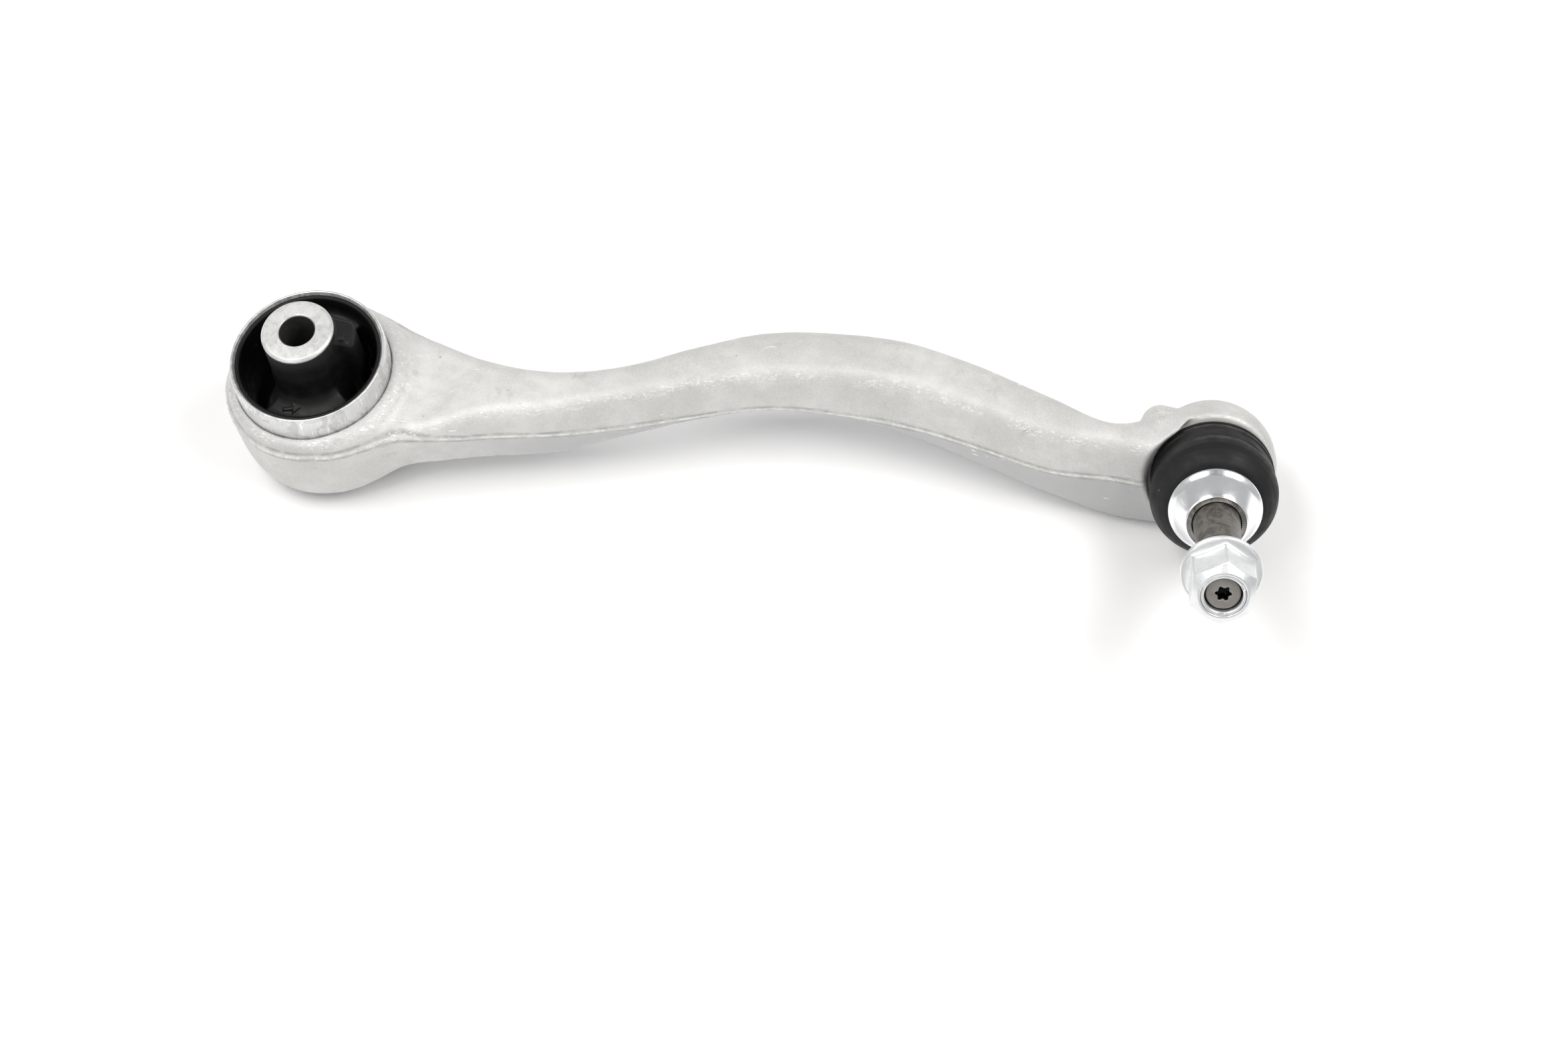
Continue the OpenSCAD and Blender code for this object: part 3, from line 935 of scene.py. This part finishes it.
def polymer_finish():
    """Moulded acetal with flow marks."""
    f = Finish("seat_polymer", (0.82, 0.8, 0.74), 0, 0.4)
    flow = f.patches(8, 3, 0.35, 0.7, rough=0.5, warp=1.0)
    f.set("Base Color", f.mix(flow, (0.84, 0.82, 0.76), (0.77, 0.75, 0.69)))
    f.uneven_roughness(3, 3, 0.34, 0.48)
    f.bump((f.noise(1.2, 2), 0.01))
    return f.material


def floor_finish():
    """Plain white paper, barely mottled."""
    f = Finish("studio_floor", (0.9, 0.9, 0.9), 0, 0.7)
    mottle = f.patches(90, 2, 0.3, 0.7)
    f.set("Base Color", f.mix(mottle, (0.945, 0.945, 0.95), (0.96, 0.96, 0.96)))
    f.set("Specular IOR Level", 0.2)
    return f.material


def finish_piece(obj, material):
    obj.data.materials.append(material)
    return obj


# ---------- turned and pressed pieces ----------

BALL_R = 14.0
BALL_FLAT_R = 5.2
NECK_IN_BALL_R = 7.6
SHANK_R = 8.2
SHANK_END_R = 7.3
SHANK_END = 66.0
THREAD_R = 6.72
THREAD_PITCH = 1.5
THREAD_START = SHANK_END + 1.4
SOCKET_R = 2.8
SOCKET_LOBE = 0.75
SOCKET_MOUTH_R = 3.6
NUT_AF = 21.0
NUT_BORE = 6.83
NUT_HEX_BASE = 2.9
NUT_SLOPE_R = 12.95
NUT_END_R = 8.9
NUT_TURN = math.radians(30)
STAKES = (math.radians(30), math.radians(150), math.radians(270))


def make_ring():
    """The aluminium ring that is pressed into the eye."""
    a, b, low, high = RING.r0 + 0.03, RING.r1, RING.h0, RING.h1
    outline = [
        (a, low, 0.3), (b - 0.8, low, 0.4), (b, low + 1.4, 0.6), (b, EYE_UP - 1, 0),
        (b - 0.12, EYE_UP + 1.2, 0.4), (b - 0.02, EYE_UP + 3.4, 1.5), (b - 0.1, high - 1.6, 0.8),
        (b - 0.7, high - 0.05, 0.6), (a + 0.75, high, 0.5), (a, high - 1.1, 0.4),
    ]
    return lathe("bush_ring", BUSH, rounded(outline), 192)


def make_sleeve():
    """The bush's inner sleeve, faced at both ends."""
    bore, out, low, high = SLEEVE.r0, SLEEVE.r1, SLEEVE.h0, SLEEVE.h1
    outline = [
        (bore, low + 0.5, 0.1), (bore + 0.5, low, 0.1), (out - 0.9, low, 0.2), (out, low + 0.9, 0.3),
        (out, low + 2, 0.3), (SLEEVE_WAIST, low + 2.6, 0.3), (SLEEVE_WAIST, high - 2.4, 0.3),
        (out, high - 1.6, 0.2), (out, high - 0.75, 0.2), (out - 0.75, high - 0.06, 0.25),
        (out - 1.3, high, 0.4), (bore + 0.45, high, 0.12), (bore, high - 0.5, 0.12),
    ]
    return lathe("bush_sleeve", BUSH, rounded(outline), 160)


def boot_outline():
    """The boot's section: a ribbed base, a bulge and a lip that turns in under the collar."""
    base, bulge, low, lip = BOOT.r0, BOOT.r1, BOOT.h0, BOOT.h1
    inner_base = NECK_R + 0.25
    return [
        (inner_base, low, 0.3), (bulge - 0.8, low, 0.5), (bulge - 0.6, low + 1.1, 0.3),
        (LOW_WIRE.r0 - 0.1, low + 1.5, 0.3), (LOW_WIRE.r0 - 0.1, low + 2.9, 0.3),
        (bulge - 0.7, low + 3.2, 0.3), (bulge - 0.55, low + 4.5, 0.35), (bulge - 1.35, low + 5.0, 0.2),
        (bulge - 1.35, low + 5.5, 0.2), (bulge - 0.75, low + 5.9, 0.3), (bulge - 0.95, low + 9.2, 0.4),
        (bulge - 1.75, low + 9.9, 0.3), (bulge - 0.85, low + 10.7, 0.5), (bulge - 0.2, low + 12.4, 3),
        (bulge, low + 14.6, 4), (bulge - 0.25, low + 17.2, 5),
        (bulge - 1.2, low + 19.6, 5), (bulge - 2.8, low + 21.8, 5), (bulge - 5, low + 23.4, 5),
        (bulge - 7.5, lip - 1.05, 1.5), (TOP_WIRE.r0 - 0.05, lip - 1.0, 0.3),
        (TOP_WIRE.r0 - 0.25, lip, 0.3), (base + 0.05, lip, 0.4), (base + 0.05, lip - 3.4, 0.6),
        (base + 3, lip - 3.3, 1), (bulge - 7.6, lip - 3.4, 2), (bulge - 5.4, lip - 4.6, 3),
        (bulge - 3.7, lip - 6.4, 3), (bulge - 2.7, lip - 9, 3), (bulge - 2.7, lip - 12, 2),
        (bulge - 2.9, lip - 14.6, 1), (inner_base, lip - 18, 0.5),
    ]


LOWER_FROM, LOWER_TO = 10.0, 19.0


def make_boot():
    """The sealing boot, cut at its widest place into a lower and an upper piece."""
    whole = lathe("boot_whole", STUD, rounded(boot_outline(), 0.4, 5), 176)
    mesh = whole.data
    co = np.array([v.co for v in mesh.vertices]) / MM
    height = STUD.local(co)[:, 2]
    evaluated = whole.evaluated_get(bpy.context.evaluated_depsgraph_get()).data
    normals = np.array([n.vector for n in evaluated.vertex_normals])
    faces = np.array([tuple(p.vertices) for p in mesh.polygons])
    upper = height[faces].mean(1) > LOWER_TO
    made = []
    for name, mine in (("boot_lower", ~upper), ("boot_upper", upper)):
        obj, used = cut_out(name, mine, co, faces, normals)
        made.append((obj, height[used]))
    bpy.data.objects.remove(whole)
    return made


def coil_path(radius, low, high, turns, start):
    steps = int(turns * 90)
    return [
        (radius * math.cos(start + TAU * turns * i / steps),
         radius * math.sin(start + TAU * turns * i / steps),
         low + (high - low) * i / steps)
        for i in range(steps + 1)
    ]


def make_low_wire():
    wire = 0.34
    radius = LOW_WIRE.r1 - wire
    path = coil_path(radius, LOW_WIRE.h0 + wire, LOW_WIRE.h1 - wire, 2.1, start=2.2)
    return tube_along("boot_wire_lower", STUD, path, wire)


def make_top_wire():
    wire = (TOP_WIRE.h1 - TOP_WIRE.h0) / 2 - 0.02
    middle = (TOP_WIRE.h0 + TOP_WIRE.h1) / 2
    radius = TOP_WIRE.r1 - wire
    path = coil_path(radius, middle, middle, 0.985, start=1.0)
    return tube_along("boot_wire_upper", STUD, path, wire)


def teeth(segments, count, depth, sharp):
    """0 to depth round the ring, in so many rounded teeth."""
    a = np.arange(segments) * TAU / segments
    return depth * (0.5 + 0.5 * np.cos(count * a)) ** sharp


def make_collar():
    """The flared steel collar over the boot, with a serrated hole on the shank."""
    rim, low, high = COLLAR.r1, COLLAR.h0, COLLAR.h1
    segments, tooth_count = 432, 72
    hole = COLLAR.r0 + 0.02
    edge = [
        (hole + 1.4, low, 0.2), (hole + 1.6, low + 0.6, 0.3), (hole + 1.6, high - 5.8, 0.6),
        (11.6, high - 4.2, 1.5), (rim - 2.2, high - 9.2, 3), (rim - 0.55, high - 10.5, 0.3),
        (rim, high - 9.9, 0.3), (rim - 0.25, high - 9.25, 0.3), (rim - 1.6, high - 8.0, 4),
        (12.9, high - 3.6, 5), (11.5, high - 1.3, 1.6), (10.9, high - 0.45, 0.5),
        (10.55, high - 0.28, 0.3), (10.3, high - 0.02, 0.3),
    ]
    tooth = teeth(segments, tooth_count, 0.2, 0.7)
    rings = rounded(edge, 0.3, 4) + [
        (hole + 0.34 - 0.3 * tooth, high), (hole + 0.2 - tooth, high - 0.2),
        (hole + 0.19 - tooth, high - 0.9), (hole + 0.1, high - 1.3), (hole, high - 2.2), (hole, low),
    ]
    return lathe("seal_collar_flared", STUD, rings, segments)


def star(segments, radius, depth):
    """Radius round a six-lobed socket."""
    a = np.arange(segments) * TAU / segments
    wave = np.cos(6 * a)
    return radius - depth * (0.5 - 0.5 * np.sign(wave) * np.abs(wave) ** 0.7)


def make_stud():
    """Ball, tapered shank, thread and the six-lobe socket in its end."""
    tip = SHAFT.h1
    segments = 144
    rings = [(0, -math.sqrt(BALL_R**2 - BALL_FLAT_R**2))]
    start = math.asin(BALL_FLAT_R / BALL_R)
    end = math.pi - math.asin(NECK_IN_BALL_R / BALL_R)
    for k in range(33):
        a = start + (end - start) * k / 32
        rings.append((BALL_R * math.sin(a), -BALL_R * math.cos(a)))
    rings += [(7.45, 13), (7.4, 15.5), (7.6, 20), (COLLAR.r0 - 0.03, 26.2), (COLLAR.r0 - 0.02, 33),
              (COLLAR.r0 - 0.02, COLLAR.h1 - 2.2), (COLLAR.r0 - 0.1, COLLAR.h1 - 1.6),
              (SHANK_R + 0.02, COLLAR.h1 - 1.1), (SHANK_R, COLLAR.h1 - 0.4)]
    low_t = COLLAR.h1 - 0.4
    for k in range(1, 9):
        r = SHANK_R + (SHANK_END_R - SHANK_R) * k / 8
        rings.append((r, low_t + (SHANK_END - low_t) * k / 8))
    rings += [(7.0, SHANK_END + 0.6), (THREAD_R - 0.7, SHANK_END + 1)]
    threaded_to = tip - 4.0
    turns = int((threaded_to - THREAD_START - 0.2) / THREAD_PITCH)
    root, crest = THREAD_R - 0.8, THREAD_R - 0.05
    for k in range(turns):
        base = THREAD_START + k * THREAD_PITCH
        rings += [(root, base), (crest, base + 0.62), (crest, base + 0.82), (root, base + 1.4)]
    rings += [(THREAD_R - 0.9, threaded_to), (5.85, tip - 3.2), (5.85, tip - 0.55),
              (5.75, tip - 0.25), (5.45, tip - 0.03), (5.1, tip), (3.4, tip)]
    lobe = star(segments, SOCKET_R, SOCKET_LOBE)
    rings += [(lobe + 0.28, tip - 0.02), (lobe + 0.06, tip - 0.16), (lobe, tip - 0.4),
              (lobe, tip - 3.9), (lobe * 0.9, tip - 4.1), (0, tip - 4.6)]
    return lathe("ball_stud_turned", STUD, rings, segments, closed=False)


def hexagon(segments, across, corner=0.35):
    """Radius round a hexagon with slightly rounded corners."""
    a = (np.arange(segments) * TAU / segments - NUT_TURN) % (TAU / 6)
    flat = across / 2 / np.cos(a - TAU / 12)
    tip = across / 2 / math.cos(TAU / 12) - 0.12
    return -smax(-flat, -tip, corner)


def make_nut():
    """Flange nut: turned flange, hexagon with a turned chamfer, and its bore."""
    segments = 432
    base, top, flange = NUT.h0, NUT.h1, NUT.r1
    side = hexagon(segments, NUT_AF)
    chamfer_low, chamfer_top = top - 3.3, top - 0.25
    drop = (chamfer_top - chamfer_low) / (NUT_SLOPE_R - NUT_END_R)
    chamfer = chamfer_low + (NUT_SLOPE_R - side) * drop
    skirt = [
        (flange - 2, base + 0.02, 0), (flange - 0.5, base, 0.3), (flange, base + 0.7, 0.3),
        (flange - 0.02, base + 1.5, 0.3), (flange - 0.45, base + 1.95, 0.25),
        (flange - 0.8, base + 1.9, 0.15), (12.5, base + NUT_HEX_BASE - 1.35, 0),
    ]
    rings = [(NUT_BORE, base + 1.1), (NUT_BORE + 0.9, base + 0.05)] + rounded(skirt, 0.25, 4)[:-1]
    foot = base + NUT_HEX_BASE + 0.35 * (12.1 - side)
    rings += [
        (side + 0.24, foot - 0.12), (side + 0.06, foot), (side, foot + 0.2), (side, foot + 0.3),
        (side, (foot + chamfer) / 2), (side, chamfer - 0.25), (side, chamfer - 0.12),
        (side - 0.1, chamfer + 0.08 * drop), (side - 0.2, chamfer + 0.2 * drop),
    ]
    for share in (0.33, 0.66, 1.0):
        r = (side - 0.2) * (1 - share) + NUT_END_R * share
        rings.append((r, chamfer_low + (NUT_SLOPE_R - r) * drop))
    rings += [(NUT_END_R - 0.3, top), (LOCK.r1 + 0.1, top), (LOCK.r1 + 0.02, top - 0.2),
              (LOCK.r1 + 0.02, top - 2.9), (NUT_BORE, top - 3.0)]
    return lathe("flange_nut_body", STUD, rings, segments)


def make_lock():
    """The locking ring, crimped into the nut with three stakes."""
    segments = 288
    a = np.arange(segments) * TAU / segments
    stake = np.zeros(segments)
    for at in STAKES:
        away = np.abs((a - at + math.pi) % TAU - math.pi) * LOCK.r1
        stake = np.maximum(stake, step_up((1.3 - away) / 0.3))
    inner, outer, low, high = LOCK.r0, LOCK.r1, LOCK.h0, LOCK.h1
    out = outer - 0.12 + 0.10 * stake
    rings = [
        (inner + 0.02, low + 0.3), (inner + 0.3, low), (outer - 0.4, low), (outer - 0.05, low + 0.3),
        (out, high - 0.35), (out - 0.08, high - 0.12 + 0.1 * stake),
        (out - 0.3, high - 0.03 * (1 - stake)),
        (outer - 0.65, high - 0.02 - 0.5 * stake), (inner + 0.45, high - 0.08 - 0.35 * stake),
        (inner + 0.15, high - 0.2), (inner, high - 0.5),
    ]
    return lathe("nut_lock_crimped", STUD, rings, segments)


def make_cap():
    """The pressed cap that closes the housing from below."""
    low, high, out = CAP.h0, CAP.h1, CAP.r1 - 0.02
    outline = [
        (0, high), (out - 0.3, high), (out, high - 0.4), (out, low + 0.5), (out - 0.5, low),
        (14.0, low), (13.2, low + 0.35), (12.4, low + 0.95), (4.6, low + 0.95), (3.8, low + 0.7),
        (0, low + 0.62),
    ]
    return lathe("housing_cap", STUD, outline, 144, closed=False)


# ---------- the object ----------

forged = forged_finish()
turned = turned_finish("machined_aluminium", BUSH, (0.72, 0.72, 0.72), 0.42, True, 0.36, 1.0)
# Radius inside which the sleeve's bore gets painted shade
SLEEVE_BORE = SLEEVE.r0 + 0.1
faced = turned_finish(
    "faced_aluminium", BUSH, (0.76, 0.76, 0.75), 0.33, False, 0.4, 0.6, SLEEVE_BORE
)
BUSH_BLACK = ((0.003, 0.003, 0.003), (0.009, 0.009, 0.009))
BOOT_BLACK = ((0.007, 0.007, 0.0073), (0.017, 0.017, 0.018))
bush_black = rubber_finish("bush_rubber", *BUSH_BLACK, 0.5, 0.5, 0.3)
boot_black = rubber_finish("boot_rubber", *BOOT_BLACK, 0.55, 0.9, 0.3)
zinc = zinc_finish()
phosphate = phosphate_finish(SHAFT.h1, SOCKET_MOUTH_R)
flake = flake_finish()
wire = wire_finish()
polymer = polymer_finish()



def place_rigid(*rows):
    """Makes each piece, which rides on one body and stands for one CAD node."""
    for make, material, slot, body, node in rows:
        piece = finish_piece(make(), material)
        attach(piece, body)
        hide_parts(node)


place_rigid(
    (make_arm, forged, "forged_aluminium", "arm", "arm_body"),
    (make_ring, turned, "machined_aluminium", "arm", "bush_outer_sleeve"),
    (make_sleeve, faced, "faced_aluminium", "bush_sleeve", "bush_inner_sleeve"),
)

(rubber_outer, outer_r), (rubber_inner, inner_r) = make_rubber()
for piece in (rubber_outer, rubber_inner):
    finish_piece(piece, bush_black)
    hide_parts("bush_rubber")
blend_by(rubber_outer)
blend_by(rubber_inner)

(boot_low, low_t), (boot_high, high_t) = make_boot()
for piece in (boot_low, boot_high):
    finish_piece(piece, boot_black)
    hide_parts("sealing_boot")
blend_by(boot_low)
blend_by(boot_high)

place_rigid(
    (make_low_wire, wire, "spring_steel", "arm", "boot_lower_clamp_ring"),
    (make_top_wire, wire, "spring_steel", "boot_lip", "boot_upper_clamp_ring"),
    (make_cap, zinc, "zinc_steel", "arm", "closing_cap"),
    (make_stud, phosphate, "phosphated_steel", "stud", "ball_stud"),
    (make_collar, zinc, "zinc_steel", "stud", "seal_collar"),
    (make_nut, flake, "zinc_flake", "nut", "flange_nut"),
    (make_lock, flake, "zinc_flake", "nut", "nut_lock_ring"),
)

seat = frame["nodes"]["ball_seat"].data
seat.materials.clear()
seat.materials.append(polymer)


# ---------- studio ----------


def make_floor():
    """A wide sheet that curves up far behind the object."""
    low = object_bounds()[0][2]
    reach, rise_from, bend = 2.4, 1.5, 0.8
    path = [(-reach, 0.0), (rise_from, 0.0)]
    path += [
        (rise_from + bend * math.sin(a), bend * (1 - math.cos(a)))
        for a in np.linspace(0, math.pi / 2, 13)[1:]
    ]
    points, faces = [], []
    for i, (y, z) in enumerate(path):
        points += [(x / MM, y / MM, (z + low) / MM) for x in (-reach, reach)]
        if i:
            faces.append((2 * i - 2, 2 * i - 1, 2 * i + 1, 2 * i))
    obj = add_object("studio_floor", points, faces)
    obj.data.materials.append(floor_finish())


def add_light(name, place, target, size, power, colour=(1, 1, 1)):
    data = bpy.data.lights.new(name, "AREA")
    data.shape = "RECTANGLE"
    data.size, data.size_y = size
    data.energy = power
    data.color = colour
    obj = bpy.data.objects.new(name, data)
    obj.location = place
    obj.rotation_euler = (Vector(target) - Vector(place)).to_track_quat("-Z", "Y").to_euler()
    bpy.context.scene.collection.objects.link(obj)


def make_world():
    """Soft light all round, with a dimmer patch straight overhead."""
    world = bpy.data.worlds.new("studio")
    bpy.context.scene.world = world
    world.use_nodes = True
    tree = world.node_tree
    background = tree.nodes["Background"]
    background.inputs["Color"].default_value = (0.985, 0.99, 1, 1)
    place = tree.nodes.new("ShaderNodeTexCoord")
    split = tree.nodes.new("ShaderNodeSeparateXYZ")
    level = tree.nodes.new("ShaderNodeMapRange")
    level.interpolation_type = "SMOOTHSTEP"
    for name, value in (("From Min", 0.82), ("From Max", 0.97), ("To Min", 0.48), ("To Max", 0.27)):
        level.inputs[name].default_value = value
    tree.links.new(place.outputs["Generated"], split.inputs[0])
    tree.links.new(split.outputs["Z"], level.inputs["Value"])
    tree.links.new(level.outputs[0], background.inputs["Strength"])


def make_camera():
    """A long lens, looking down on the object at 60 degrees."""
    data = bpy.data.cameras.new("camera")
    data.lens = 68.8
    data.sensor_width = 36
    obj = bpy.data.objects.new("camera", data)
    obj.location = (0.1666, -0.5790, 0.9017)
    obj.rotation_euler = (math.radians(30), 0, 0)
    bpy.context.scene.collection.objects.link(obj)
    bpy.context.scene.camera = obj


make_floor()
make_world()
make_camera()
MIDDLE = (0.16, 0, 0)
WARM = (1.0, 0.985, 0.955)
add_light("left_softbox", (-0.45, -0.12, 1.3), MIDDLE, (1.1, 0.6), 12, WARM)
add_light("right_softbox", (1.02, -0.12, 1.3), MIDDLE, (1.1, 0.6), 13, WARM)
add_light("front_fill", (-0.75, -1.0, 0.7), MIDDLE, (0.9, 0.6), 2)
bpy.context.scene.view_settings.view_transform = "Standard"
